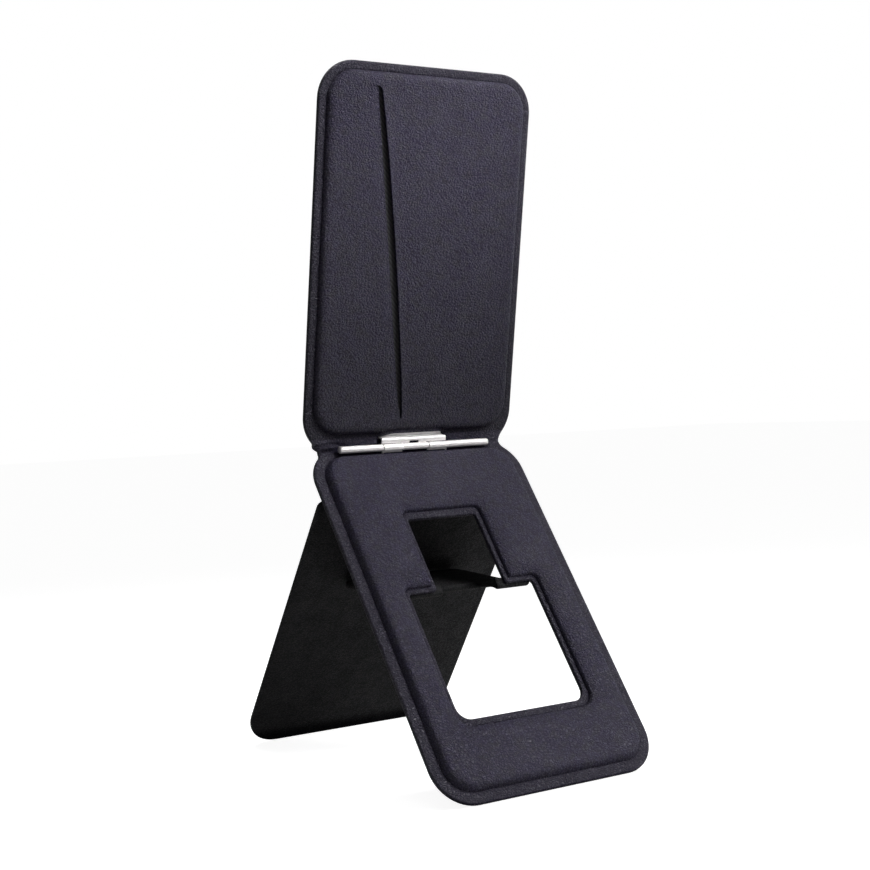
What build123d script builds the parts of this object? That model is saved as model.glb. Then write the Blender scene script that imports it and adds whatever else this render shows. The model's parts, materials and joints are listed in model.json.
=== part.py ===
from build123d import *
from math import cos, radians, sin
import os

# Folding phone stand with a card pocket. Two leather-covered panels are joined by a steel
# friction hinge. A leg folds out of the lower panel's back, and a strut flap, which lies in the
# lower panel's window when the stand is folded, braces the leg.
#
# Row frame: X along the hinge, -Y the front, +Z up. The origin is on the desk, straight below
# the middle of the hinge axis. All sizes are in millimetres and all angles in degrees.
#
# Each leaf is drawn flat in its own frame: y is the distance from its hinge, z = 0 is the plane
# where its two leathers meet, and +z is the side that faces the front (or faces up, on the strut).

# ---- leaves -------------------------------------------------------------------------------
panel_width = 65.0
corner_radius = 10.0
skin = 0.7                  # leather of the two panels
wall_slope = 32.0           # lean of the pressed leather walls around each raised board
wall_gap = 0.05             # room between a board and the leather around it
neck_reach = 1.6            # the rounded outline reaches this far past the hinge axis

upper_length = 98.4         # hinge axis to top edge
upper_lean = -10.3          # leans to the front
upper_setback = 3.27        # hinge axis to the leather joint plane
upper_neck_cut = 1.7        # the leather ends this far from the hinge axis
upper_rim = 2.2
upper_rise = 1.5
upper_pad_start = 3.5       # hinge axis to the foot of the raised board

frame_length = 98.7
frame_lean = 35.66          # top leans to the back
frame_setback = 2.11
frame_neck_cut = 1.15
frame_rim = 2.9
frame_rise = 2.0
frame_pad_start = 1.2

# ---- window of the lower panel -------------------------------------------------------------
throat_half = 10.6
throat_top = 21.6
shoulder = 43.0
bay_half = 19.1
bay_bottom = 78.0
bay_corner = 3.5
small_corner = 0.8
window_rim = 1.7            # flat leather between the opening and the foot of the wall

# ---- card pocket ---------------------------------------------------------------------------
slit_top = (-15.9, 94.0)
slit_bottom = (-4.3, 7.2)
slit_width = 1.4
board_top = 1.2
lining_thickness = 0.2
lining_inset = 3.6

# ---- magnets and steel plates --------------------------------------------------------------
ring_centre = 58.0
ring_outer = 27.0
ring_inner = 23.0
ring_segments = 18
segment_gap = 0.4
magnet_thickness = 0.8
shield_thickness = 0.2
pocket_gap = 0.05
aligner_width = 6.0
aligner_length = 12.0
aligner_centre = 22.0
latch_radius = 5.0
latch_thickness = 1.5
latch_x = 18.0
latch_y = 87.5
keeper_thickness = 0.4

# ---- friction hinge ------------------------------------------------------------------------
pin_radius = 0.6
pin_length = 46.6
running_gap = 0.02
sleeve_radius = 0.95        # bright tubes that cover the pin on both sides of the knuckles
sleeve_start = 10.3
sleeve_bevel = 0.15
barrel_radius = 1.05
barrel_half = 3.75
knuckle_start = 4.0
knuckle_end = 10.2
sheet = 0.5                 # steel sheet of both hinge leaves
leaf_half = 9.65
leaf_end = 13.0
bar_half = 10.1
bar_low = 0.95
upper_riser = 1.83          # hinge axis to the step in each leaf
lower_riser = 0.6
curl_outer = 1.05           # back of the sheet where it runs into the barrel, from the axis
curl_inner = 0.6
slot_half = 1.5
slot_low = 0.3
slot_high = 1.4
rivet_radius = 1.0
rivet_head = 1.8
rivet_head_thickness = 0.3
rivet_x = 6.0
rivet_y = 9.0

# ---- rear leg ------------------------------------------------------------------------------
leg_lean = -35.29           # foot to the back
leg_pivot_drop = 13.2       # down the lower panel from the hinge axis
leg_pivot_gap = 0.3         # behind the lower panel's back leather
leg_start = 0.4
leg_skin = 0.6
leg_rise = 1.2
leg_rim = 3.0
leg_top_corner = 2.0
strip_half = 30.0
strip_low = 5.0
strip_high = 12.7
strip_thickness = 0.25
catch_half = 15.0
catch_low = 26.0
catch_high = 36.0

# ---- strut flap ----------------------------------------------------------------------------
strut_pivot_drop = 43.15
strut_pivot_gap = 0.1
strut_tilt = 3.45           # the free end is slightly higher than the root
strut_half = 18.5
strut_start = 0.15
strut_length = 33.1
strut_skin = 0.5
strut_board_thickness = 0.8
strut_top = -0.1            # top face, just below the pivot line
strut_edge = 0.8            # leather turned up around the strut's board
strut_corner = 3.0
notch_half = 8.5            # notch between the two soft root ears
notch_depth = 9.2
strut_body_start = 9.6      # the stiffened part starts here; the ears are upper leather only
strut_magnet_half = 6.0
strut_magnet_width = 3.0
strut_magnet_x = 9.0
strut_magnet_y = 29.5


# ---- places of the leaves ------------------------------------------------------------------
def front_normal(lean):
    """Direction out of the front of a leaf that leans back by lean degrees."""
    return Vector(0, -cos(radians(lean)), sin(radians(lean)))


def down_leaf(lean):
    """Direction from the top to the foot of a leaf that leans back by lean degrees."""
    return Vector(0, -sin(radians(lean)), -cos(radians(lean)))


# The lower panel stands on the back edge of its foot, which fixes the height of the hinge.
hinge_height = frame_length * cos(radians(frame_lean)) + (frame_setback + skin) * sin(radians(frame_lean))
hinge_axis = Vector(0, 0, hinge_height)

upper_plane = Plane(
    origin=hinge_axis - front_normal(upper_lean) * upper_setback,
    x_dir=(1, 0, 0),
    z_dir=front_normal(upper_lean),
)
frame_plane = Plane(
    origin=hinge_axis - front_normal(frame_lean) * frame_setback,
    x_dir=(-1, 0, 0),
    z_dir=front_normal(frame_lean),
)


def on_frame(y, z):
    """Point of the lower panel, y down from the hinge axis and z in front of its joint plane."""
    return frame_plane.origin + down_leaf(frame_lean) * y + front_normal(frame_lean) * z


leg_pivot = on_frame(leg_pivot_drop, -skin - leg_pivot_gap)
leg_length = leg_pivot.Z / cos(radians(leg_lean))
leg_plane = Plane(
    origin=leg_pivot - front_normal(leg_lean) * leg_skin,
    x_dir=(-1, 0, 0),
    z_dir=front_normal(leg_lean),
)

strut_pivot = on_frame(strut_pivot_drop, -skin - strut_pivot_gap)
strut_plane = Plane(
    origin=strut_pivot,
    x_dir=(1, 0, 0),
    z_dir=(0, -sin(radians(strut_tilt)), cos(radians(strut_tilt))),
)


# ---- drawing helpers -----------------------------------------------------------------------
def slab(sketch, low, high):
    """Straight extrusion of a flat outline between two heights."""
    return extrude(Pos(0, 0, low) * sketch, amount=high - low)


def raised(sketch, low, high):
    """Extrusion whose walls lean inwards as they rise."""
    return extrude(Pos(0, 0, low) * sketch, amount=high - low, taper=wall_slope)


def flared(sketch, low, high):
    """Extrusion whose walls lean outwards as they rise."""
    return extrude(Pos(0, 0, low) * sketch, amount=high - low, taper=-wall_slope)


def block(half_x, low_y, high_y, low_z, high_z):
    """Box centred on x = 0."""
    outline = Pos(0, (low_y + high_y) / 2) * Rectangle(2 * half_x, high_y - low_y)
    return slab(outline, low_z, high_z)


def drum(x, y, radius, low, high):
    """Upright round disc or hole."""
    return slab(Pos(x, y) * Circle(radius), low, high)


def along_hinge(start, end, radius, setback):
    """Cylinder along the hinge axis, in the frame of a leaf with this setback."""
    return Pos((start + end) / 2, 0, setback) * Rot(0, 90, 0) * Cylinder(radius, end - start)


# ---- outlines ------------------------------------------------------------------------------
def panel_outline(length, neck_cut):
    """Rounded panel, cut off just short of the hinge axis."""
    height = length + neck_reach
    whole = Pos(0, (length - neck_reach) / 2) * RectangleRounded(panel_width, height, corner_radius)
    beyond = Pos(0, (neck_cut - neck_reach) / 2) * Rectangle(panel_width, neck_cut + neck_reach)
    return whole - beyond


def pad_outline(start, length, rim, inset):
    """Foot of a raised board, pulled in by inset."""
    low = start + inset
    high = length - rim - inset
    width = panel_width - 2 * (rim + inset)
    return Pos(0, (low + high) / 2) * RectangleRounded(width, high - low, corner_radius - rim - inset)


def upper_pad(inset=0.0):
    """Foot of the upper panel's raised board, pulled in by inset."""
    return pad_outline(upper_pad_start, upper_length, upper_rim, inset)


def frame_pad(inset=0.0):
    """Foot of the lower panel's raised board, pulled in by inset."""
    return pad_outline(frame_pad_start, frame_length, frame_rim, inset)


def window_outline(grow=0.0):
    """T-shaped opening of the lower panel, or the same opening grown on all sides."""
    throat_low = throat_top - grow
    bay_low = shoulder - grow
    bay_high = bay_bottom + grow
    throat = Pos(0, (throat_low + bay_high) / 2) * Rectangle(2 * (throat_half + grow), bay_high - throat_low)
    bay = Pos(0, (bay_low + bay_high) / 2) * Rectangle(2 * (bay_half + grow), bay_high - bay_low)
    opening = throat + bay
    opening = fillet(opening.vertices().group_by(Axis.Y)[-1], bay_corner + grow)
    opening = fillet(opening.vertices().group_by(Axis.Y)[0], small_corner + grow)
    shoulders = opening.vertices().filter_by(lambda v: abs(v.Y - bay_low) < small_corner / 2)
    return fillet(shoulders, small_corner)


def leg_outline():
    """Leg leaf: nearly square at its hinge and rounded at its foot."""
    plate = Pos(0, (leg_start + leg_length) / 2) * Rectangle(panel_width, leg_length - leg_start)
    plate = fillet(plate.vertices().group_by(Axis.Y)[-1], corner_radius)
    return fillet(plate.vertices().group_by(Axis.Y)[0], leg_top_corner)


def leg_pad_outline(inset=0.0):
    """Foot of the raised board on the leg's outer side."""
    low = leg_start + leg_rim + inset
    high = leg_length - leg_rim - inset
    width = panel_width - 2 * (leg_rim + inset)
    plate = Pos(0, (low + high) / 2) * Rectangle(width, high - low)
    plate = fillet(plate.vertices().group_by(Axis.Y)[-1], corner_radius - leg_rim - inset)
    return fillet(plate.vertices().group_by(Axis.Y)[0], leg_top_corner)


def strut_plate(start, inset):
    """Strut with a rounded free end, from start on, pulled in by inset."""
    low = start + inset
    high = strut_length - inset
    plate = Pos(0, (low + high) / 2) * Rectangle(2 * (strut_half - inset), high - low)
    return fillet(plate.vertices().group_by(Axis.Y)[-1], strut_corner - inset)


def strut_outline():
    """Whole strut flap: two root ears on either side of a notch."""
    return strut_plate(strut_start, 0) - Pos(0, notch_depth / 2) * Rectangle(2 * notch_half, notch_depth)


# ---- pressed covers ------------------------------------------------------------------------
def cover(outline, pad, cavity, thickness, rise):
    """Leather sheet that lies flat at its rim and is pressed up over a board."""
    sheet_part = slab(outline, 0, thickness) + raised(pad, thickness, thickness + rise)
    return sheet_part - raised(cavity, 0, rise)


def leaf_passage(start, setback):
    """Room in a front leather for the hinge leaf that comes out of the panel."""
    mouth = block(bar_half + wall_gap, 0, start, -wall_gap, setback)
    tunnel = block(leaf_half + wall_gap, 0, leaf_end, -wall_gap, sheet + wall_gap)
    return mouth + tunnel


def rivet_shanks(top):
    """Straight shanks of the two rivets, or the holes they fill."""
    return drum(-rivet_x, rivet_y, rivet_radius, 0, top) + drum(rivet_x, rivet_y, rivet_radius, 0, top)


def leaf_rivets(top):
    """Two rivets that hold a hinge leaf to its board, with their heads sunk into the board."""
    low = top - rivet_head_thickness
    heads = drum(-rivet_x, rivet_y, rivet_head, low, top) + drum(rivet_x, rivet_y, rivet_head, low, top)
    return rivet_shanks(top) + heads


# ---- upper panel ---------------------------------------------------------------------------
def upper_front_leather():
    """Front leather with the diagonal card slit."""
    outline = panel_outline(upper_length, upper_neck_cut)
    leather = cover(outline, upper_pad(), upper_pad(skin), skin, upper_rise)
    middle_x = (slit_top[0] + slit_bottom[0]) / 2
    middle_y = (slit_top[1] + slit_bottom[1]) / 2
    right = (middle_x + slit_width / 2, middle_y)
    left = (middle_x - slit_width / 2, middle_y)
    slit = slab(Polygon(slit_top, left, slit_bottom, right, align=None), upper_rise, skin + upper_rise)
    return leather - slit - leaf_passage(upper_pad_start, upper_setback)


def upper_back_leather():
    """Flat leather that the phone holds on to."""
    return slab(panel_outline(upper_length, upper_neck_cut), -skin, 0)


def card_pocket_lining():
    """Cloth that closes the card pocket off from the board."""
    return slab(upper_pad(lining_inset), board_top, board_top + lining_thickness)


def ring_sketch(gap):
    """Annulus of the magnet ring, grown by gap on both sides."""
    annulus = Circle(ring_outer + gap) - Circle(ring_inner - gap)
    return Pos(0, ring_centre) * annulus


def aligner_sketch(gap):
    """Rectangle of the aligning magnet, grown by gap on all sides."""
    return Pos(0, aligner_centre) * Rectangle(aligner_width + 2 * gap, aligner_length + 2 * gap)


def upper_board():
    """Fibreboard core with pockets for magnets, hinge leaf and rivets."""
    board = raised(upper_pad(skin + wall_gap), 0, board_top)
    ring_pocket = slab(ring_sketch(pocket_gap), 0, magnet_thickness + shield_thickness)
    aligner_pocket = slab(aligner_sketch(pocket_gap), 0, magnet_thickness)
    leaf_pocket = block(leaf_half + wall_gap, 0, leaf_end + wall_gap, 0, sheet)
    return board - ring_pocket - aligner_pocket - leaf_pocket - leaf_rivets(board_top)


def magnet_ring():
    """Ring of separate magnets that grips the back of a phone."""
    ring = slab(ring_sketch(0), 0, magnet_thickness)
    gap = Pos(ring_outer / 2) * Rectangle(ring_outer + segment_gap, segment_gap)
    for index in range(ring_segments):
        spoke = Pos(0, ring_centre) * Rot(0, 0, index * 360 / ring_segments) * gap
        ring -= slab(spoke, 0, magnet_thickness)
    return ring


def magnet_shield():
    """Thin steel ring that turns the magnets' pull to the back."""
    return slab(ring_sketch(0), magnet_thickness, magnet_thickness + shield_thickness)


def alignment_magnet():
    """Bar magnet below the ring that keeps the phone upright."""
    return slab(aligner_sketch(0), 0, magnet_thickness)


def upper_hinge_leaf():
    """Pressed steel leaf with the middle barrel of the hinge."""
    setback = upper_setback
    leaf = block(leaf_half, upper_riser, leaf_end, 0, sheet)
    leaf += block(leaf_half, upper_riser, upper_riser + sheet, 0, setback - curl_inner)
    leaf += block(bar_half, bar_low, upper_riser + sheet, setback - curl_outer, setback - curl_inner)
    leaf += block(barrel_half, 0, bar_low, setback - curl_outer, setback - curl_inner)
    leaf += along_hinge(-barrel_half, barrel_half, barrel_radius, setback)
    leaf -= along_hinge(-barrel_half, barrel_half, pin_radius + running_gap, setback)
    leaf -= block(slot_half, slot_low, slot_high, setback - curl_outer, setback - curl_inner)
    return leaf - rivet_shanks(sheet)


# ---- lower panel ---------------------------------------------------------------------------
def frame_cavity(inset):
    """Space between the lower panel's leathers, or the board that fills it."""
    pad = raised(frame_pad(inset), 0, frame_rise)
    return pad - flared(window_outline(window_rim + inset), 0, frame_rise)


def frame_front_leather():
    """Front leather, pressed over the board and down into the window."""
    top = skin + frame_rise
    pad = raised(frame_pad(), skin, top)
    pad -= flared(window_outline(window_rim), skin, top)
    leather = slab(panel_outline(frame_length, frame_neck_cut) - window_outline(), 0, skin) + pad
    return leather - frame_cavity(skin) - leaf_passage(frame_pad_start, frame_setback)


def frame_back_leather():
    """Flat back leather with the window cut in it."""
    return slab(panel_outline(frame_length, frame_neck_cut) - window_outline(), -skin, 0)


def frame_board():
    """Fibreboard core with pockets for hinge leaf, rivets and latch magnets."""
    board = frame_cavity(skin + wall_gap) - leaf_rivets(frame_rise)
    return board - block(leaf_half + wall_gap, 0, leaf_end + wall_gap, 0, sheet) - latch_magnets(pocket_gap)


def lower_hinge_leaf():
    """Pressed steel leaf with the two outer knuckles of the hinge."""
    setback = frame_setback
    middle = (knuckle_start + knuckle_end) / 2
    half = (knuckle_end - knuckle_start) / 2
    knuckle = block(half, lower_riser, lower_riser + sheet, 0, setback - curl_inner)
    knuckle += block(half, 0, lower_riser + sheet, setback - curl_outer, setback - curl_inner)
    knuckle += along_hinge(-half, half, barrel_radius, setback)
    leaf = block(leaf_half, lower_riser, leaf_end, 0, sheet)
    leaf += Pos(-middle) * knuckle + Pos(middle) * knuckle
    leaf -= along_hinge(-knuckle_end, knuckle_end, pin_radius, setback)
    return leaf - rivet_shanks(sheet)


def hinge_pin():
    """Friction pin that the panels turn about, pressed into the outer knuckles."""
    return along_hinge(-pin_length / 2, pin_length / 2, pin_radius, frame_setback)


def hinge_sleeves():
    """Two bright tubes over the ends of the pin."""
    sleeve = along_hinge(sleeve_start, pin_length / 2, sleeve_radius, frame_setback)
    sleeve = chamfer(sleeve.edges().filter_by(GeomType.CIRCLE), sleeve_bevel)
    sleeve -= along_hinge(sleeve_start, pin_length / 2, pin_radius, frame_setback)
    return sleeve + mirror(sleeve, about=Plane.YZ)


def latch_magnets(gap=0.0):
    """Two disc magnets that hold the leg against the folded stand."""
    left = drum(-latch_x, latch_y, latch_radius + gap, 0, latch_thickness)
    return left + drum(latch_x, latch_y, latch_radius + gap, 0, latch_thickness)


def leg_hinge_strip():
    """Leather strip glued to the lower panel's back, above the leg's fold."""
    return block(strip_half, strip_low, strip_high, -skin - strip_thickness, -skin)


# ---- rear leg ------------------------------------------------------------------------------
def keeper_plates(gap=0.0):
    """Two steel discs in the leg that meet the latch magnets."""
    y = latch_y - leg_pivot_drop
    left = drum(-latch_x, y, latch_radius + gap, -keeper_thickness, 0)
    return left + drum(latch_x, y, latch_radius + gap, -keeper_thickness, 0)


def strut_catch_plate(gap=0.0):
    """Steel plate in the leg that the strut's magnets hold on to."""
    return block(catch_half + gap, catch_low - gap, catch_high + gap, -keeper_thickness, 0)


def leg_inner_leather():
    """Flat leather on the side that faces the lower panel."""
    return slab(leg_outline(), 0, leg_skin)


def leg_outer_leather():
    """Leather pressed over the board on the leg's outer side."""
    shape = cover(leg_outline(), leg_pad_outline(), leg_pad_outline(leg_skin), leg_skin, leg_rise)
    return mirror(shape, about=Plane.XY)


def leg_board():
    """Fibreboard core of the leg."""
    board = mirror(raised(leg_pad_outline(leg_skin + wall_gap), 0, leg_rise), about=Plane.XY)
    return board - keeper_plates(pocket_gap) - strut_catch_plate(pocket_gap)


# ---- strut flap ----------------------------------------------------------------------------
board_high = strut_top - strut_skin
board_low = board_high - strut_board_thickness


def strut_magnets(gap=0.0):
    """Two bar magnets at the strut's free end."""
    half_width = strut_magnet_width / 2 + gap
    bar = block(strut_magnet_half + gap, -half_width, half_width, board_low, board_high)
    return Pos(-strut_magnet_x, strut_magnet_y) * bar + Pos(strut_magnet_x, strut_magnet_y) * bar


def strut_upper_leather():
    """Flat leather on top of the strut, with the two soft ears that bend at the lower panel."""
    return slab(strut_outline(), board_high, strut_top)


def strut_lower_leather():
    """Leather under the strut, turned up around the board's edges."""
    tray = slab(strut_plate(strut_body_start, 0), board_low - strut_skin, board_high)
    return tray - slab(strut_plate(strut_body_start, strut_edge), board_low, board_high)


def strut_board():
    """Thin stiffener inside the strut."""
    board = slab(strut_plate(strut_body_start, strut_edge + wall_gap), board_low, board_high)
    return board - strut_magnets(pocket_gap)


# ---- the whole stand -----------------------------------------------------------------------
nodes = {
    "upper_front_leather": upper_plane * upper_front_leather(),
    "upper_back_leather": upper_plane * upper_back_leather(),
    "card_pocket_lining": upper_plane * card_pocket_lining(),
    "upper_board": upper_plane * upper_board(),
    "magnet_ring": upper_plane * magnet_ring(),
    "magnet_shield": upper_plane * magnet_shield(),
    "alignment_magnet": upper_plane * alignment_magnet(),
    "upper_hinge_leaf": upper_plane * upper_hinge_leaf(),
    "upper_leaf_rivets": upper_plane * leaf_rivets(board_top),
    "frame_front_leather": frame_plane * frame_front_leather(),
    "frame_back_leather": frame_plane * frame_back_leather(),
    "frame_board": frame_plane * frame_board(),
    "lower_hinge_leaf": frame_plane * lower_hinge_leaf(),
    "lower_leaf_rivets": frame_plane * leaf_rivets(frame_rise),
    "hinge_pin": frame_plane * hinge_pin(),
    "hinge_sleeves": frame_plane * hinge_sleeves(),
    "latch_magnets": frame_plane * latch_magnets(),
    "leg_hinge_strip": frame_plane * leg_hinge_strip(),
    "leg_inner_leather": leg_plane * leg_inner_leather(),
    "leg_outer_leather": leg_plane * leg_outer_leather(),
    "leg_board": leg_plane * leg_board(),
    "leg_keeper_plates": leg_plane * keeper_plates(),
    "strut_catch_plate": leg_plane * strut_catch_plate(),
    "strut_upper_leather": strut_plane * strut_upper_leather(),
    "strut_lower_leather": strut_plane * strut_lower_leather(),
    "strut_board": strut_plane * strut_board(),
    "strut_magnets": strut_plane * strut_magnets(),
}

os.makedirs("parts", exist_ok=True)
for name, shape in nodes.items():
    export_step(shape, f"parts/{name}.step")
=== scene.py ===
import json
import math

import bmesh
import bpy
import numpy as np
from mathutils import Matrix, Vector, noise
from mathutils.geometry import delaunay_2d_cdt


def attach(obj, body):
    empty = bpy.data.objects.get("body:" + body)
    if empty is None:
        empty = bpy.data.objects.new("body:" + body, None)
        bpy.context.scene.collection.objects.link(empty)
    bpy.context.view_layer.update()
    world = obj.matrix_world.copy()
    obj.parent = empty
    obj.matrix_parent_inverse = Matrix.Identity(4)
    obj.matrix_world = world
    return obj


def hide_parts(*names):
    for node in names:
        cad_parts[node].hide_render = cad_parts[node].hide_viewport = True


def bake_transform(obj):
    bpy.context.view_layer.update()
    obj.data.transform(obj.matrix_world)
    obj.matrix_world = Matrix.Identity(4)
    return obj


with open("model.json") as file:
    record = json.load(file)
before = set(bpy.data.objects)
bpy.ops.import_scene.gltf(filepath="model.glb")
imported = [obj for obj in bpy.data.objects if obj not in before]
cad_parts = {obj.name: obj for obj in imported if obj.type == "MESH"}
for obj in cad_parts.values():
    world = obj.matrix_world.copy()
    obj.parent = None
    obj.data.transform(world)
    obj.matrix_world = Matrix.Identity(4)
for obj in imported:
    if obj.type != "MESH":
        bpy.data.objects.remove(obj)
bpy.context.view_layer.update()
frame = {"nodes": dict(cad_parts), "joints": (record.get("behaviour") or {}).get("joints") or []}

# Folding leather phone stand. Every leaf is drawn flat, in millimetres, in its own frame:
# y runs away from the hinge, z = 0 is the plane where its two leathers meet, and +z faces the
# front (or up, on the strut). place() then carries it into the row frame, in metres.

MM = 0.001
noise.seed_set(1)           # without a seed, noise_vector() would give another leather on each run

# ---- sizes of the visible leather, in millimetres ----
CORNER = 10.0               # outline radius of the panels
CORNER_STEPS = 14
NECK_REACH = 1.6            # the corner arcs are centred this much nearer the hinge
EDGE = ((0.0, 0.25), (0.04, 0.45), (0.14, 0.62), (0.34, 0.7))  # inset and height of a cut edge
SIDES = (40, 24, 40, 72)    # points on the sides of a panel loop, anticlockwise from the right
GRID = 1.6                  # spacing of points in the flat areas
THINNEST = 0.1              # a leather is never thinner than this
UNEVEN = 0.07               # how far a stuffed panel strays from its drawn shape


# ---- frames of the leaves ----
def joint_point(name):
    """Place of a joint, in the row frame."""
    found = next(j for j in frame["joints"] if j["name"] == name)
    return Vector(found["pos_m"])


def main_normal(node):
    """Direction of the largest flat face of a CAD node."""
    totals = {}
    for polygon in frame["nodes"][node].data.polygons:
        key = tuple(round(c, 3) for c in polygon.normal)
        totals[key] = totals.get(key, 0.0) + polygon.area
    return Vector(max(totals, key=totals.get)).normalized()


def leaf_frame(node, pivot, facing, level):
    """Matrix from leaf millimetres to the row frame; level picks the node's low or high face as z = 0."""
    z_axis = main_normal(node)
    if z_axis.dot(facing) < 0:
        z_axis = -z_axis
    corners = [v.co for v in frame["nodes"][node].data.vertices]
    middle = sum(corners, Vector()) / len(corners)
    y_axis = z_axis.cross(Vector((1, 0, 0)))
    if y_axis.dot(middle - pivot) < 0:
        y_axis = -y_axis
    x_axis = y_axis.cross(z_axis)
    heights = [c.dot(z_axis) for c in corners]
    plane = {"low": min(heights), "high": max(heights), "pivot": pivot.dot(z_axis)}[level]
    origin = pivot + z_axis * (plane - pivot.dot(z_axis))
    turn = Matrix((x_axis, y_axis, z_axis)).transposed().to_4x4()
    return Matrix.Translation(origin) @ turn @ Matrix.Scale(MM, 4)


def span(node, matrix):
    """Lowest and highest corner of a CAD node in leaf millimetres."""
    back = matrix.inverted()
    local = np.array([back @ v.co for v in frame["nodes"][node].data.vertices])
    return local.min(0), local.max(0)


FRONT = Vector((0, -1, 0))
UP = Vector((0, 0, 1))
hinge = joint_point("panel_hinge")
upper = leaf_frame("upper_back_leather", hinge, FRONT, "high")
lower = leaf_frame("frame_back_leather", hinge, FRONT, "high")
leg = leaf_frame("leg_inner_leather", joint_point("leg_fold"), FRONT, "low")
strut = leaf_frame("strut_upper_leather", joint_point("strut_fold"), UP, "pivot")

upper_high = span("upper_front_leather", upper)[1]
lower_high = span("frame_front_leather", lower)[1]
leg_high = span("leg_outer_leather", leg)[1]
strut_low, strut_high = span("strut_lower_leather", strut)
HALF = upper_high[0]                    # half the panel width


# ---- closed loops ----
def arc(cx, cy, radius, start, end, steps):
    """Points on an arc, both ends included, angles in degrees."""
    angles = np.radians(np.linspace(start, end, steps + 1))
    return [(cx + radius * math.cos(a), cy + radius * math.sin(a)) for a in angles]


def side(start, end, count):
    """Evenly spaced points between two points, ends left out."""
    steps = np.linspace(0, 1, count + 2)[1:-1]
    return [(start[0] + (end[0] - start[0]) * t, start[1] + (end[1] - start[1]) * t) for t in steps]


def join_arcs(arcs, counts):
    """Loop made of arcs joined by straight sides."""
    loop = []
    for index, points in enumerate(arcs):
        after = arcs[(index + 1) % len(arcs)]
        loop += points + side(points[-1], after[0], counts[index])
    return loop


def round_rect(half, low, high, low_radius, high_radius):
    """Anticlockwise rounded rectangle that starts at its lower right corner."""
    low_x = half - low_radius
    high_x = half - high_radius
    arcs = [
        arc(low_x, low + low_radius, low_radius, 270, 360, CORNER_STEPS),
        arc(high_x, high - high_radius, high_radius, 0, 90, CORNER_STEPS),
        arc(-high_x, high - high_radius, high_radius, 90, 180, CORNER_STEPS),
        arc(-low_x, low + low_radius, low_radius, 180, 270, CORNER_STEPS),
    ]
    return join_arcs(arcs, SIDES)


def neck_angle(neck_y, inset):
    """Angle below the horizontal where a corner arc meets the neck line."""
    centre = CORNER - NECK_REACH
    return math.degrees(math.asin((centre - neck_y) / (CORNER - inset)))


def panel_loop(length, cut, inset):
    """Outline of a panel, pulled in by inset and cut straight across at the neck."""
    radius = CORNER - inset
    centre_x = HALF - CORNER
    low_y = CORNER - NECK_REACH
    angle = neck_angle(cut, inset)
    arcs = [
        arc(centre_x, low_y, radius, -angle, 0, CORNER_STEPS),
        arc(centre_x, length - CORNER, radius, 0, 90, CORNER_STEPS),
        arc(-centre_x, length - CORNER, radius, 90, 180, CORNER_STEPS),
        arc(-centre_x, low_y, radius, 180, 180 + angle, CORNER_STEPS),
    ]
    return join_arcs(arcs, SIDES)


def fillet(before, corner, after, radius, steps):
    """Arc that rounds one corner of a polygon."""
    to_before = np.subtract(before, corner) / math.dist(before, corner)
    to_after = np.subtract(after, corner) / math.dist(after, corner)
    half_angle = math.acos(float(to_before @ to_after)) / 2
    reach = radius / math.tan(half_angle)
    middle = to_before + to_after
    centre = corner + middle / np.linalg.norm(middle) * radius / math.sin(half_angle)
    first = np.subtract(corner + to_before * reach, centre)
    last = np.subtract(corner + to_after * reach, centre)
    start = math.degrees(math.atan2(first[1], first[0]))
    sweep = (math.degrees(math.atan2(last[1], last[0])) - start + 180) % 360 - 180
    return arc(centre[0], centre[1], radius, start, start + sweep, steps)


def rounded_polygon(points, radii, steps, counts):
    """Loop round a polygon with a rounded corner at each point."""
    arcs = []
    for index, point in enumerate(points):
        before = points[index - 1]
        after = points[(index + 1) % len(points)]
        arcs.append(fillet(before, np.array(point), after, radii[index], steps))
    return join_arcs(arcs, counts)


# ---- mesh building ----
def level(height, x, y):
    """A height that is a number or a function of x and y."""
    return height(x, y) if callable(height) else height


def inside(polygon, points):
    """Which points lie inside a closed polygon."""
    poly = np.asarray(polygon)
    x, y = points[:, 0], points[:, 1]
    result = np.zeros(len(points), bool)
    ahead = np.roll(poly, -1, axis=0)
    for (x0, y0), (x1, y1) in zip(poly, ahead):
        crosses = (y0 > y) != (y1 > y)
        if not crosses.any():
            continue
        result ^= crosses & (x < (x1 - x0) * (y - y0) / (y1 - y0 + 1e-12) + x0)
    return result


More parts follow.
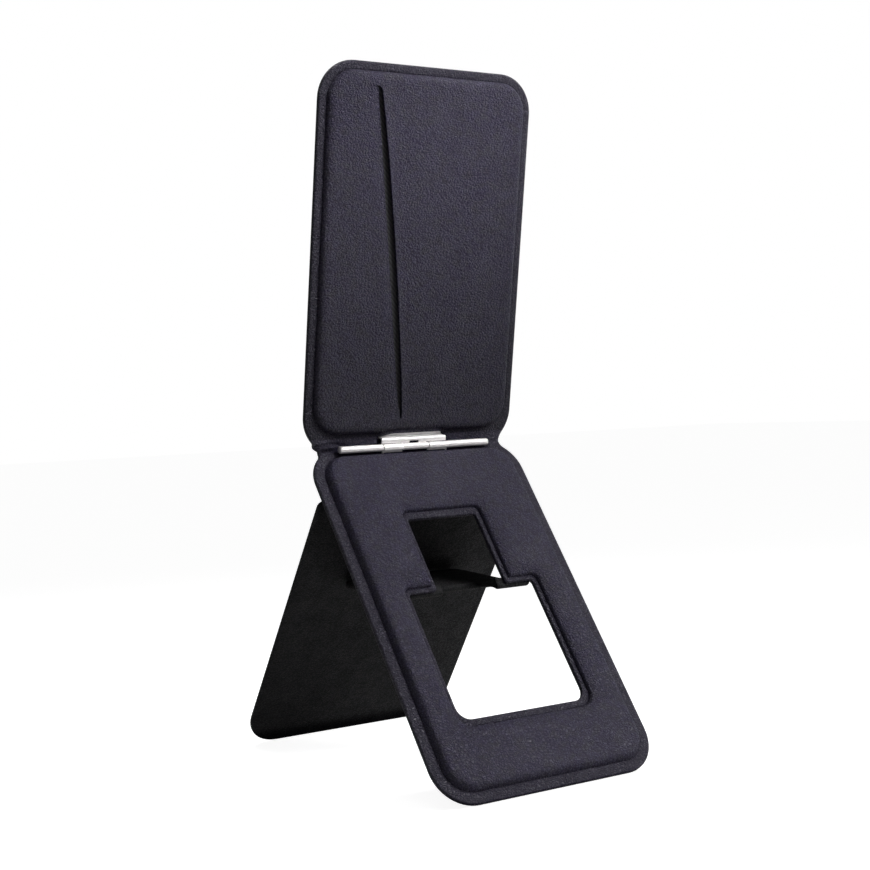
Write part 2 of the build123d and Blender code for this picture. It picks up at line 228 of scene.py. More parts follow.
class Builder:
    """Collects the points and faces of one piece, in leaf millimetres."""

    def __init__(self):
        self.points = []
        self.faces = []

    def ring(self, points):
        """Adds points and gives their indices."""
        start = len(self.points)
        self.points += points
        return list(range(start, len(self.points)))

    def loop(self, flat, height):
        """Adds a closed loop; height is a number or a function of x and y."""
        return self.ring([(x, y, level(height, x, y)) for x, y in flat])

    def bridge(self, first, second):
        """Quads between two loops of the same length."""
        count = len(first)
        for i in range(count):
            j = (i + 1) % count
            self.faces.append((first[i], first[j], second[j], second[i]))

    def stack(self, loops):
        """Quads through a list of loops."""
        for first, second in zip(loops, loops[1:]):
            self.bridge(first, second)

    def close_ends(self, loops):
        """Quads across the first and last loop, which run out on one face and back on the other."""
        for ring in (loops[0], loops[-1]):
            for i in range(len(ring) // 2 - 1):
                j = len(ring) - 1 - i
                self.faces.append((ring[i], ring[i + 1], ring[j - 1], ring[j]))

    def cap(self, outer, holes, height, guides=(), spacing=GRID):
        """Triangles inside a loop and outside the holes, with a grid of points at the given height."""
        rings = [outer] + list(holes)
        flat = [self.points[i][:2] for ring in rings for i in ring]
        known = [i for ring in rings for i in ring]
        edges = []
        start = 0
        for ring in rings:
            count = len(ring)
            edges += [(start + k, start + (k + 1) % count) for k in range(count)]
            start += count
        outer_flat = np.array([self.points[i][:2] for i in outer])
        hole_flats = [np.array([self.points[i][:2] for i in ring]) for ring in holes]
        for guide in guides:
            count = len(guide)
            flat += list(guide)
            edges += [(start + k, start + (k + 1) % count) for k in range(count)]
            start += count
        low, high = outer_flat.min(0), outer_flat.max(0)
        xs = np.arange(low[0] + spacing, high[0], spacing)
        ys = np.arange(low[1] + spacing, high[1], spacing)
        grid = np.array([(x, y) for y in ys for x in xs]).reshape(-1, 2)
        fixed = np.array(flat)
        keep = inside(outer_flat, grid)
        for ring in hole_flats:
            keep &= ~inside(ring, grid)
        grid = grid[keep]
        gap = np.array([np.min(np.hypot(*(fixed - p).T)) for p in grid]) if len(grid) else np.zeros(0)
        grid = grid[gap > 0.55 * spacing]
        coords = [Vector(p) for p in flat] + [Vector(p) for p in grid]
        verts, _, tris, origin, _, _ = delaunay_2d_cdt(coords, edges, [], 0, 1e-6)
        verts_flat = np.array([tuple(v) for v in verts])
        middles = np.array([verts_flat[list(t)].mean(0) for t in tris])
        good = inside(outer_flat, middles)
        for ring in hole_flats:
            good &= ~inside(ring, middles)
        index = {}
        for k, sources in enumerate(origin):
            ring_sources = [s for s in sources if s < len(known)]
            if ring_sources:
                index[k] = known[ring_sources[0]]
        for t, ok in zip(tris, good):
            if not ok:
                continue
            for k in t:
                if k not in index:
                    x, y = verts_flat[k]
                    index[k] = len(self.points)
                    self.points.append((x, y, level(height, x, y)))
            self.faces.append(tuple(index[k] for k in t))

    def thicken(self, drop, floor=0.02):
        """Closes the sheet: copies it lower down, never below the floor, and joins the rims."""
        count = len(self.points)
        uses = {}
        for face in self.faces:
            for a, b in zip(face, face[1:] + face[:1]):
                uses.setdefault(frozenset((a, b)), []).append((a, b))
        under = []
        for x, y, z in self.points:
            under.append((x, y, min(max(z - drop, level(floor, x, y)), z - THINNEST)))
        below = [tuple(i + count for i in face[::-1]) for face in self.faces]
        rims = [pairs[0] for pairs in uses.values() if len(pairs) == 1]
        self.points += under
        self.faces += below + [(b, a, a + count, b + count) for a, b in rims]

    def piece(self, name, place, grain):
        """Makes the object in the row frame and stores the leather's own flat coordinates for its grain."""
        mesh = bpy.data.meshes.new(name)
        mesh.from_pydata([tuple(place @ Vector(p)) for p in self.points], [], self.faces)
        flat = [grain(*p) for p in self.points] if callable(grain) else grain
        attribute = mesh.attributes.new("grain", "FLOAT_VECTOR", "POINT")
        attribute.data.foreach_set("vector", np.array(flat, np.float32).ravel())
        tidy = bmesh.new()
        tidy.from_mesh(mesh)
        bmesh.ops.recalc_face_normals(tidy, faces=tidy.faces)
        tidy.to_mesh(mesh)
        tidy.free()
        mesh.polygons.foreach_set("use_smooth", np.ones(len(mesh.polygons), bool))
        mesh.set_sharp_from_angle(angle=math.radians(55))
        piece = bpy.data.objects.new(name, mesh)
        bpy.context.scene.collection.objects.link(piece)
        return piece


def smooth_step(t):
    """Smooth ramp from 0 to 1."""
    t = min(max(t, 0.0), 1.0)
    return t * t * (3 - 2 * t)


def hand_made(builder, skin, rise):
    """Gives the raised leather the slight unevenness of a pressed, stuffed panel."""
    moved = []
    for x, y, z in builder.points:
        share = UNEVEN * smooth_step((z - skin) / rise)
        wave = noise.noise(Vector((x / 17, y / 17, 1.7))) + 0.5 * noise.noise(Vector((x / 6, y / 6, 4.1)))
        edge = noise.noise_vector(Vector((x / 11, y / 11, 8.3)))
        moved.append((x + share * edge.x, y + share * edge.y, z + share * wave))
    builder.points = moved


# ---- panels ----
SKIN = 0.7
UPPER_NECK = 2.5            # hinge axis to the line where the neck leather takes over
LOWER_NECK = 1.1
UPPER_RIM = 2.2
LOWER_RIM = 2.9
UPPER_PAD_START = 3.5
LOWER_PAD_START = 1.2
PILLOW = (                  # grow and height of the upper panel's soft raised edge
    (-0.3, 0.7), (-0.08, 0.66), (0.02, 0.62), (0.12, 0.84), (0.32, 1.26), (0.6, 1.62),
    (0.95, 1.88), (1.4, 2.05), (2.0, 2.16), (2.7, 2.2), (3.6, 2.2),
)
STEP = (                    # grow and height of the lower panel's steeper edge
    (-0.3, 0.7), (-0.08, 0.66), (0.02, 0.62), (0.14, 0.9), (0.45, 1.5), (0.78, 2.1),
    (1.05, 2.42), (1.4, 2.6), (1.9, 2.68), (2.6, 2.7), (3.4, 2.7),
)
MOUTH_HALF = 10.4           # opening in the leather where the hinge comes out
WINDOW_RIM = (1.35, 2.1)    # flat leather inside the window's walls: at its sides, at its top and bottom
WINDOW_STEP = (             # a low, steep wall, then a gentle rise
    (-0.4, 0.7), (-0.14, 0.66), (-0.03, 0.62), (0.05, 0.85), (0.13, 1.2), (0.26, 1.5),
    (0.5, 1.72), (0.95, 1.95), (1.6, 2.2), (2.5, 2.44), (3.6, 2.62),
)
WINDOW = {
    "throat_half": 10.6, "throat_top": 21.6, "shoulder": 43.0,
    "bay_half": 19.1, "bay_bottom": 78.0, "bay_corner": 3.5, "small_corner": 0.8,
}


def window_loop(grow, rim=(0.0, 0.0)):
    """T-shaped window, grown on all sides and pushed out by a rim; the shoulders stay mitred."""
    side, end = rim
    half = WINDOW["throat_half"] + grow + side
    top = WINDOW["throat_top"] - grow - end
    shoulder = WINDOW["shoulder"] - grow - side
    bay = WINDOW["bay_half"] + grow + side
    bottom = WINDOW["bay_bottom"] + grow + end
    small = WINDOW["small_corner"]
    points = [
        (half, top), (half, shoulder), (bay, shoulder), (bay, bottom),
        (-bay, bottom), (-bay, shoulder), (-half, shoulder), (-half, top),
    ]
    inner = max(small - grow - side, 0.12)
    outer = small + 0.7 * (grow + side)
    foot = WINDOW["bay_corner"] + grow + 0.5 * side
    radii = [outer, inner, outer, foot, foot, outer, inner, outer]
    return rounded_polygon(points, radii, 6, (14, 6, 22, 24, 22, 6, 14, 14))


def arch(x):
    """How far the upper leather's lower edge is pulled up to let the hinge plate out."""
    return 0.65 * smooth_step((x + MOUTH_HALF) / 5) * smooth_step((MOUTH_HALF - x) / 1.2)


def edge_loops(builder, length, neck_y, reach, rim):
    """Cut edge and flat rim of a panel leather; reach is how far the rim draws back from the neck line."""
    loops = []
    for inset, z in EDGE + ((0.9, SKIN), (rim - 0.7, SKIN)):
        cut = neck_y + reach * inset / rim
        loops.append(builder.loop(panel_loop(length, cut, inset), z))
    return loops


def pad_loops(builder, length, start, rim, profile):
    """Wall and rolled edge of a raised pad."""
    loops = []
    for grow, z in profile:
        radius = CORNER - rim - grow
        flat = round_rect(HALF - rim - grow, start + grow, length - rim - grow, radius, radius)
        loops.append(builder.loop(flat, z))
    return loops


def mouth_lift(x, y):
    """How far a front leather is lifted where the steel leaf slides in between the leathers."""
    return 0.45 * smooth_step((MOUTH_HALF - 0.2 - abs(x)) / 0.8) * (1 - smooth_step((y - 4.5) / 3))


def lift_mouth(builder):
    """Raises the rim of a front leather over the steel leaf."""
    builder.points = [(x, y, z + mouth_lift(x, y) * (1 - smooth_step((z - SKIN) / 0.9)))
                      for x, y, z in builder.points]


def mouth_floor(x, y):
    """Underside of a front leather."""
    return 0.02 + mouth_lift(x, y)


# ---- card slit of the upper panel ----
SLIT_FOOT = np.array((-4.3, 7.2))
SLIT_HEAD = np.array((-16.0, 94.6))
SLIT_HALF = 0.85
SLIT_BOW = 0.5
SLIT_HOOK = 1.2
SLIT_LENGTH = float(np.linalg.norm(SLIT_HEAD - SLIT_FOOT))
SLIT_UP = (SLIT_HEAD - SLIT_FOOT) / SLIT_LENGTH
SLIT_RIGHT = np.array((SLIT_UP[1], -SLIT_UP[0]))


def slit_middle(t):
    """Sideways offset of the slit's middle line: a slight bow, and a hook at its head."""
    bow = SLIT_BOW * math.sin(math.pi * min(max(t, 0.0), 1.0))
    return bow - SLIT_HOOK * smooth_step((t - 0.96) / 0.04)


def slit_half(t):
    """Half the gap at a place along the slit."""
    return 0.07 + SLIT_HALF * math.sin(math.pi * min(max(t, 0.0), 1.0)) ** 0.42


def slit_loop(away):
    """Loop around the slit at a distance from its edges."""
    extra = 0.8 * away / SLIT_LENGTH
    steps = -extra + (1 + 2 * extra) * (1 - np.cos(np.linspace(0, math.pi, 64))) / 2
    right = [slit_place(t, slit_half(t) + away) for t in steps]
    left = [slit_place(t, -slit_half(t) - away) for t in steps[::-1]]
    return right + left


def slit_place(t, offset):
    """Point beside the slit."""
    point = SLIT_FOOT + SLIT_UP * SLIT_LENGTH * t + SLIT_RIGHT * (slit_middle(t) + offset)
    return float(point[0]), float(point[1])


def slit_lift(x, y):
    """Height change of the leather beside the slit: the right lip stands up, the left lip sinks."""
    away = np.array((x, y)) - SLIT_FOOT
    t = float(away @ SLIT_UP) / SLIT_LENGTH
    side_offset = float(away @ SLIT_RIGHT) - slit_middle(t)
    gap = abs(side_offset) - slit_half(t)
    fade = smooth_step((t + 0.01) / 0.09) * smooth_step((1.01 - t) / 0.07)
    if side_offset > 0:
        return 0.22 * fade * math.exp(-((max(gap, 0) / 1.2) ** 2))
    return -0.5 * fade * math.exp(-((max(gap, 0) / 1.5) ** 2))


def upper_front_mesh():
    """Front leather of the upper panel, with the card slit and the hinge mouth."""
    leather = Builder()
    length = upper_high[1]
    reach = (UPPER_PAD_START - UPPER_NECK) * 0.6
    loops = edge_loops(leather, length, UPPER_NECK, reach, UPPER_RIM)
    loops += pad_loops(leather, length, UPPER_PAD_START, UPPER_RIM, PILLOW)
    leather.stack(loops)
    top = PILLOW[-1][1]
    slit = leather.loop(slit_loop(0.0), lambda x, y: top + slit_lift(x, y))
    guides = [slit_loop(away) for away in (0.2, 0.5, 0.95, 1.6, 2.5)]
    leather.cap(loops[-1], [slit], lambda x, y: top + slit_lift(x, y), guides)
    hand_made(leather, SKIN, top - SKIN)
    leather.points = [(x, y + arch(x) * (1 - smooth_step((y - 3) / 7)), z) for x, y, z in leather.points]
    lift_mouth(leather)
    leather.thicken(SKIN - 0.02, mouth_floor)
    return leather


def lower_front_mesh():
    """Front leather of the lower panel, with the window pressed down to its back leather."""
    leather = Builder()
    length = lower_high[1]
    reach = (LOWER_PAD_START - LOWER_NECK) * 0.6
    loops = edge_loops(leather, length, LOWER_NECK, reach, LOWER_RIM)
    loops += pad_loops(leather, length, LOWER_PAD_START, LOWER_RIM, STEP)
    leather.stack(loops)
    top = STEP[-1][1]
    opening = [leather.loop(window_loop(inset), z) for inset, z in EDGE]
    opening += [leather.loop(window_loop(grow, WINDOW_RIM), z) for grow, z in WINDOW_STEP]
    leather.stack(opening)
    leather.cap(loops[-1], [opening[-1]], top)
    hand_made(leather, SKIN, top - SKIN)
    lift_mouth(leather)
    leather.thicken(SKIN - 0.02, mouth_floor)
    return leather


def back_mesh(length, neck_y, window):
    """Flat back leather of a panel; its height counts towards the back."""
    leather = Builder()
    loops = edge_loops(leather, length, neck_y, 0.3, UPPER_RIM)
    opening = [leather.loop(window_loop(inset), z) for inset, z in EDGE + ((0.9, SKIN),)] if window else []
    leather.stack(loops)
    leather.stack(opening)
    leather.cap(loops[-1], opening[-1:], SKIN)
    leather.thicken(SKIN - 0.02)
    return leather


# ---- neck leather ----
NECK_SECTIONS = 26
NECK_INNER = 16


def corner_x(inset, y):
    """Half-width of the panel outline at a height near the hinge."""
    return HALF - CORNER + math.sqrt((CORNER - inset) ** 2 - (CORNER - NECK_REACH - y) ** 2)


def hermite(t, p0, m0, p1, m1):
    """Cubic curve from p0 to p1 with end slopes m0 and m1."""
    a = 2 * t ** 3 - 3 * t ** 2 + 1
    b = t ** 3 - 2 * t ** 2 + t
    c = -2 * t ** 3 + 3 * t ** 2
    d = t ** 3 - t ** 2
    return p0 * a + m0 * b + p1 * c + m1 * d


def neck_columns(width):
    """Places across the neck, from the right edge to the middle."""
    edge = [width - inset for inset, _ in EDGE]
    inner = list(np.linspace(width - 0.9, MOUTH_HALF + 0.9, NECK_INNER))
    return edge + inner + [MOUTH_HALF + 0.12, MOUTH_HALF - 0.05, 8.5, 5.5, 2.5]


def neck_front(index, x):
    """Height of the neck's front face: cut down in the mouth, so that the hinge passes through."""
    if index < len(EDGE):
        return EDGE[index][1]
    return -0.06 if x < MOUTH_HALF else SKIN - 0.005


def neck_crumple(x, t):
    """Slack leather beside the hinge: soft folds on the left, calmer on the right."""
    ends = math.sin(math.pi * min(max(t, 0.0), 1.0)) ** 1.3
    left = smooth_step((-x - 19) / 5)
    bulge = 1.1 * math.exp(-(((x + 25.6) / 1.9) ** 2) - ((t - 0.52) / 0.2) ** 2)
    crease = -1.0 * math.exp(-(((x + 29.0) / 0.8) ** 2) - ((t - 0.45) / 0.2) ** 2)
    hollow = -0.95 * math.exp(-(((x + 22.6) / 1.4) ** 2) - ((t - 0.5) / 0.25) ** 2)
    folds = 0.4 * math.sin(t * 15 + 2.2 * noise.noise(Vector((x / 3, t * 2, 3.3))))
    calm = 0.34 * noise.noise(Vector((x / 2.6, t * 3.2, 9.1)))
    return ends * (left * folds + bulge + crease + hollow + calm)


def neck_mesh():
    """Leather that joins the two panels behind the hinge; made directly in row millimetres."""
    upper_y = upper.col[1].xyz.normalized()
    upper_z = upper.col[2].xyz.normalized()
    lower_y = lower.col[1].xyz.normalized()
    lower_z = lower.col[2].xyz.normalized()
    start = (upper @ Vector((0, UPPER_NECK, 0))) / MM
    end = (lower @ Vector((0, LOWER_NECK, 0))) / MM
    reach = (end - start).length
    width_a = corner_x(0, UPPER_NECK)
    width_b = corner_x(0, LOWER_NECK)
    slope_a = -(CORNER - NECK_REACH - UPPER_NECK) / (width_a - HALF + CORNER) * reach
    slope_b = (CORNER - NECK_REACH - LOWER_NECK) / (width_b - HALF + CORNER) * reach
    neck = Builder()
    grain = []
    loops = []
    for k in range(NECK_SECTIONS):
        t = -0.012 + 1.024 * k / (NECK_SECTIONS - 1)
        middle = hermite(t, start, -upper_y * reach, end, lower_y * reach)
        normal = upper_z.lerp(lower_z, smooth_step(t)).normalized()
        width = hermite(t, width_a, slope_a, width_b, slope_b)
        columns = neck_columns(width)
        right = [(x, neck_front(i, x), -EDGE[i][1] if i < len(EDGE) else -SKIN + 0.005)
                 for i, x in enumerate(columns)]
        across = right + [(-x, front, back) for x, front, back in right[::-1]]
        ring = [(x, front) for x, front, _ in across] + [(x, back) for x, _, back in across[::-1]]
        spots = [middle + normal * (z + neck_crumple(x, t)) for x, z in ring]
        loops.append(neck.ring([(x, spot.y, spot.z) for (x, _), spot in zip(ring, spots)]))
        grain += [(x, UPPER_NECK - reach * t, z) for x, z in ring]
    neck.stack(loops)
    neck.close_ends(loops)
    return neck, grain, start * MM, end * MM


# ---- rear leg ----
LEG_SKIN = 0.6
LEG_RIM = 3.0
LEG_TOP = 0.4
LEG_TOP_CORNER = 2.0
LEG_EDGE = ((0.0, 0.22), (0.04, 0.4), (0.13, 0.54), (0.3, 0.6))
LEG_STEP = (
    (-0.3, 0.6), (-0.08, 0.57), (0.02, 0.54), (0.14, 0.78), (0.36, 1.16), (0.6, 1.48),
    (0.9, 1.67), (1.3, 1.77), (1.9, 1.8), (2.8, 1.8),
)


def leg_edge_loops(builder):
    """Cut edge and flat rim of a leg leather."""
    loops = []
    for inset, z in LEG_EDGE + ((0.9, LEG_SKIN), (LEG_RIM - 0.8, LEG_SKIN)):
        top_radius = max(LEG_TOP_CORNER - inset, 0.4)
        flat = round_rect(HALF - inset, LEG_TOP + inset, leg_high[1] - inset, top_radius, CORNER - inset)
        loops.append(builder.loop(flat, z))
    return loops


def leg_outer_mesh():
    """Leather pressed over the leg's board; its height counts towards the back."""
    leather = Builder()
    loops = leg_edge_loops(leather)
    for grow, z in LEG_STEP:
        inset = LEG_RIM + grow
        radius = max(LEG_TOP_CORNER - grow, 0.6)
        flat = round_rect(HALF - inset, LEG_TOP + inset, leg_high[1] - inset, radius, CORNER - inset)
        loops.append(leather.loop(flat, z))
    leather.stack(loops)
    leather.cap(loops[-1], [], LEG_STEP[-1][1])
    hand_made(leather, LEG_SKIN, LEG_STEP[-1][1] - LEG_SKIN)
    leather.thicken(LEG_SKIN - 0.02)
    return leather


def leg_inner_mesh():
    """Flat leather on the leg's inner side."""
    leather = Builder()
    loops = leg_edge_loops(leather)
    leather.stack(loops)
    leather.cap(loops[-1], [], LEG_SKIN)
    leather.thicken(LEG_SKIN - 0.02)
    return leather


# ---- strips of leather that bend ----
def strip_mesh(path, halves, thickness, middle_x=0.0, columns=25):
    """Closed leather strip along a path of (y, z) points in row millimetres; halves are its half-widths."""
    strip = Builder()
    grain = []
    loops = []
    run = 0.0
    for k, (point, half) in enumerate(zip(path, halves)):
        before = path[max(k - 1, 0)]
        after = path[min(k + 1, len(path) - 1)]
        run += math.dist(point, before)
        along = np.subtract(after, before) / math.dist(after, before)
        normal = np.array((-along[1], along[0]))
        xs = np.linspace(-half, half, columns)
        ring = []
        for side_sign in (1, -1):
            for x in (xs if side_sign > 0 else xs[::-1]):
                share = min((half - abs(x)) / 0.4, 1.0)
                z = side_sign * thickness / 2 * (0.35 + 0.65 * math.sqrt(share))
                ring.append((x, z))
        spots = [np.array(point) + normal * z for _, z in ring]
        loops.append(strip.ring([(middle_x + x, float(y), float(z)) for (x, _), (y, z) in zip(ring, spots)]))
        grain += [(middle_x + x, run, z) for x, z in ring]
    strip.stack(loops)
    strip.close_ends(loops)
    return strip, grain


def side_view(matrix, y, z):
    """Row (y, z) in millimetres of a leaf point."""
    spot = (matrix @ Vector((0, y, z))) / MM
    return spot.y, spot.z


def smooth_path(points, steps):
    """Catmull-Rom curve through (y, z) points."""
    pts = [np.array(p) for p in points]
    pts = [2 * pts[0] - pts[1]] + pts + [2 * pts[-1] - pts[-2]]
    path = []
    for i in range(1, len(pts) - 2):
        for k in range(steps):
            t = k / steps
            p0, p1, p2, p3 = pts[i - 1:i + 3]
            a = 2 * p1
            b = (p2 - p0) * t
            c = (2 * p0 - 5 * p1 + 4 * p2 - p3) * t ** 2
            d = (3 * p1 - p0 - 3 * p2 + p3) * t ** 3
            path.append(tuple((a + b + c + d) / 2))
    return path + [tuple(pts[-2])]


# ---- strut flap ----
STRUT_TOP = -0.1
STRUT_BODY = 9.2            # the stiff part starts here; two soft ears join it to the lower panel
STRUT_CORNERS = (1.2, 3.0)
STRUT_EAR = (8.5, 18.5)     # from and to, sideways
EAR_THICKNESS = 0.4
STRUT_EDGE = ((0.0, 0.9), (0.05, 0.6), (0.18, 0.3), (0.38, 0.1), (0.7, 0.0))


def strut_mesh():
    """Leather-wrapped stiff part of the strut flap."""
    flap = Builder()
    thickness = STRUT_TOP - strut_low[2]
    tops = []
    bottoms = []
    near_corner, far_corner = STRUT_CORNERS
    for inset, drop in STRUT_EDGE:
        flat = round_rect(strut_high[0] - inset, STRUT_BODY + inset, strut_high[1] - inset,
                          near_corner - inset, far_corner - inset)
        tops.append(flap.loop(flat, STRUT_TOP - drop))
        if drop < thickness / 2:
            bottoms.append(flap.loop(flat, STRUT_TOP - thickness + drop))
    flap.stack(tops)
    flap.stack([tops[0]] + bottoms)
    flap.cap(tops[-1], [], STRUT_TOP)
    flap.cap(bottoms[-1], [], STRUT_TOP - thickness)
    return flap


def ear_path():
    """Side view of a soft ear: out between the lower panel's leathers and round to the stiff part."""
    inside = STRUT_TOP - EAR_THICKNESS / 2 - 0.03
    points = [
        side_view(lower, 41.0, -0.36), side_view(lower, 42.0, -0.36), side_view(lower, 42.5, -0.42),
        side_view(lower, 43.25, -0.5), side_view(strut, 0.4, -0.53), side_view(strut, 1.3, inside - 0.04),
        side_view(strut, 2.8, inside), side_view(strut, 5.8, inside), side_view(strut, 8.6, inside),
        side_view(strut, 11.5, inside),
    ]
    return smooth_path(points, 7)


# ---- hinge steel ----
SHEET = 0.42
SHEET_BACK = 0.825          # middle of the flat sheet, behind the hinge axis
BARREL_CURL = 0.72          # middle of the rolled sheet, from its centre
KNUCKLE_CURL = 0.8
KNUCKLE_DROP = 0.12
SLEEVE = (10.32, 23.36)
SLEEVE_RADIUS = 0.95
LEAF_HALF = 9.8
BAR_HALF = 10.1
BARREL_HALF = 3.75
KNUCKLE = (4.0, 10.2)
SLOT_HALF = 1.5
SLOT = (0.3, 1.4)


def curl_path(setback, radius, drop):
    """Sheet rolled around the pin, starting at its back."""
    angles = np.radians(np.linspace(-90, -352, 40))
    return [(drop + radius * math.cos(a), setback + radius * math.sin(a), "curl") for a in angles]


def upper_leaf_path(setback):
    """Side view of the upper hinge leaf: plate, riser, bar and rolled barrel."""
    low = setback - SHEET_BACK
    return [
        (13.0, 0.25, "plate"), (8.0, 0.25, "plate"), (2.75, 0.25, "plate"), (2.42, 0.31, "plate"),
        (2.18, 0.55, "plate"), (2.12, 1.0, "plate"), (2.12, low - 0.32, "plate"), (2.06, low - 0.12, "bar"),
        (1.88, low, "bar"), (SLOT[1], low, "bar"), (0.95, low, "slotted bar"), (SLOT[0], low, "slotted"),
        (0.14, low, "curl"),
    ] + curl_path(setback, BARREL_CURL, 0.0)


def lower_leaf_path(setback):
    """Side view of the lower hinge leaf: plate, low riser and rolled knuckles."""
    low = setback - SHEET_BACK
    return [
        (13.0, 0.25, "plate"), (8.0, 0.25, "plate"), (1.7, 0.25, "plate"), (1.25, 0.31, "plate"),
        (0.98, 0.55, "curl"), (0.86, 0.8, "curl"), (0.7, low - 0.1, "curl"), (0.45, low, "curl"),
    ] + curl_path(setback, KNUCKLE_CURL, KNUCKLE_DROP)


def upper_keep(tag, x):
    """Whether the upper leaf has metal at this place."""
    x = abs(x)
    if tag == "plate":
        return x < LEAF_HALF
    if tag == "bar":
        return x < BAR_HALF
    if tag == "slotted bar":
        return SLOT_HALF < x < BAR_HALF
    if tag == "slotted":
        return SLOT_HALF < x < BARREL_HALF
    return x < BARREL_HALF


def lower_keep(tag, x):
    """Whether the lower leaf has metal at this place."""
    x = abs(x)
    return x < LEAF_HALF if tag == "plate" else KNUCKLE[0] < x < KNUCKLE[1]


def sheet_metal(path, xs, keep):
    """Closed bent sheet: a path of (y, z, tag) swept over the x lines, with the cells that keep() allows."""
    metal = Builder()
    rows = len(path)
    flat = np.array([(p[0], p[1]) for p in path])
    along = np.gradient(flat, axis=0)
    along /= np.linalg.norm(along, axis=1)[:, None]
    normals = np.column_stack((-along[:, 1], along[:, 0]))
    index = {}

    def corner(i, j, side_sign):
        key = (i, j, side_sign)
        if key not in index:
            y, z = flat[i] + normals[i] * side_sign * SHEET / 2
            index[key] = len(metal.points)
            metal.points.append((xs[j], float(y), float(z)))
        return index[key]

    kept = set()
    for i in range(rows - 1):
        for j in range(len(xs) - 1):
            if keep(path[i + 1][2], (xs[j] + xs[j + 1]) / 2):
                kept.add((i, j))
    for i, j in kept:
        ring = ((i, j), (i + 1, j), (i + 1, j + 1), (i, j + 1))
        beside = ((i, j - 1), (i + 1, j), (i, j + 1), (i - 1, j))
        metal.faces.append(tuple(corner(a, b, 1) for a, b in ring))
        metal.faces.append(tuple(corner(a, b, -1) for a, b in ring[::-1]))
        for k, cell in enumerate(beside):
            if cell not in kept:
                a, b = ring[k], ring[(k + 1) % 4]
                metal.faces.append((corner(*a, 1), corner(*b, 1), corner(*b, -1), corner(*a, -1)))
    return metal


def turned(profile, axis_z, steps=40):
    """Solid of revolution about the hinge axis from (x, radius) points."""
    solid = Builder()
    loops = []
    for x, radius in profile:
        angles = np.linspace(0, 2 * math.pi, steps, endpoint=False)
        loops.append(solid.ring([(x, radius * math.cos(a), axis_z + radius * math.sin(a)) for a in angles]))
    solid.stack(loops)
    solid.faces += [tuple(loops[0]), tuple(loops[-1])]
    return solid


def sleeve_mesh(setback, side_sign):
    """Bright tube over one end of the pin, with softly broken ends."""
    low, high = SLEEVE
    ends = ((0.0, 0.72), (0.04, 0.82), (0.11, 0.9), (0.24, SLEEVE_RADIUS))
    profile = [(low + x, r) for x, r in ends]
    profile += [(x, SLEEVE_RADIUS) for x in np.linspace(low + 2, high - 2, 6)]
    profile += [(high - x, r) for x, r in ends[::-1]]
    return turned([(side_sign * x, r) for x, r in profile], setback)


def bevelled(obj, width):
    """Breaks the sharp edges of a steel piece."""
    bevel = obj.modifiers.new("edges", "BEVEL")
    bevel.width = width * MM
    bevel.segments = 2
    bevel.limit_method = "ANGLE"
    bevel.angle_limit = math.radians(50)
    bevel.harden_normals = False


# ---- materials ----
class Nodes:
    """Short hand for building a node material."""

    def __init__(self, name):
        self.material = bpy.data.materials.new(name)
        self.material.use_nodes = True
        self.tree = self.material.node_tree
        self.shader = self.tree.nodes["Principled BSDF"]

    def add(self, kind, inputs=None, **settings):
        """New node with its settings and inputs; an input is a value or another node's output."""
        node = self.tree.nodes.new("ShaderNode" + kind)
        for key, value in settings.items():
            setattr(node, key, value)
        for key, value in (inputs or {}).items():
            self.link(value, node.inputs[key])
        return node

    def link(self, value, socket):
        if isinstance(value, bpy.types.NodeSocket):
            self.tree.links.new(value, socket)
        else:
            socket.default_value = value

    def math(self, operation, a, b=0.0, c=0.0):
        node = self.add("Math", {0: a, 1: b, 2: c}, operation=operation)
        return node.outputs[0]

    def ramp(self, value, low, high, start=0.0, end=1.0):
        """Smooth change from start to end as value goes from low to high."""
        inputs = {"Value": value, "From Min": low, "From Max": high, "To Min": start, "To Max": end}
        node = self.add("MapRange", inputs, interpolation_type="SMOOTHSTEP")
        return node.outputs["Result"]

    def mix(self, share, a, b):
        node = self.add("Mix", data_type="RGBA")
        self.link(share, node.inputs[0])
        self.link(a, node.inputs[6])
        self.link(b, node.inputs[7])
        return node.outputs[2]

    def noise(self, where, scale, detail=3.0, rough=0.55):
        inputs = {"Vector": where, "Scale": scale, "Detail": detail, "Roughness": rough}
        return self.add("TexNoise", inputs).outputs["Fac"]

    def stretch(self, where, scale):
        return self.add("Mapping", {"Vector": where, "Scale": scale}).outputs["Vector"]

    def bump(self, height, distance, strength):
        inputs = {"Height": height, "Distance": distance * MM, "Strength": strength}
        return self.add("Bump", inputs).outputs["Normal"]

    def cells(self, where, scale):
        """Distance to the edge of irregular cells."""
        inputs = {"Vector": where, "Scale": scale}
        return self.add("TexVoronoi", inputs, feature="DISTANCE_TO_EDGE").outputs["Distance"]

    def finish(self, color, roughness, normal=None, **values):
        self.link(color, self.shader.inputs["Base Color"])
        self.link(roughness, self.shader.inputs["Roughness"])
        if normal is not None:
            self.link(normal, self.shader.inputs["Normal"])
        for key, value in values.items():
            self.link(value, self.shader.inputs[key.replace("_", " ")])
        return self.material


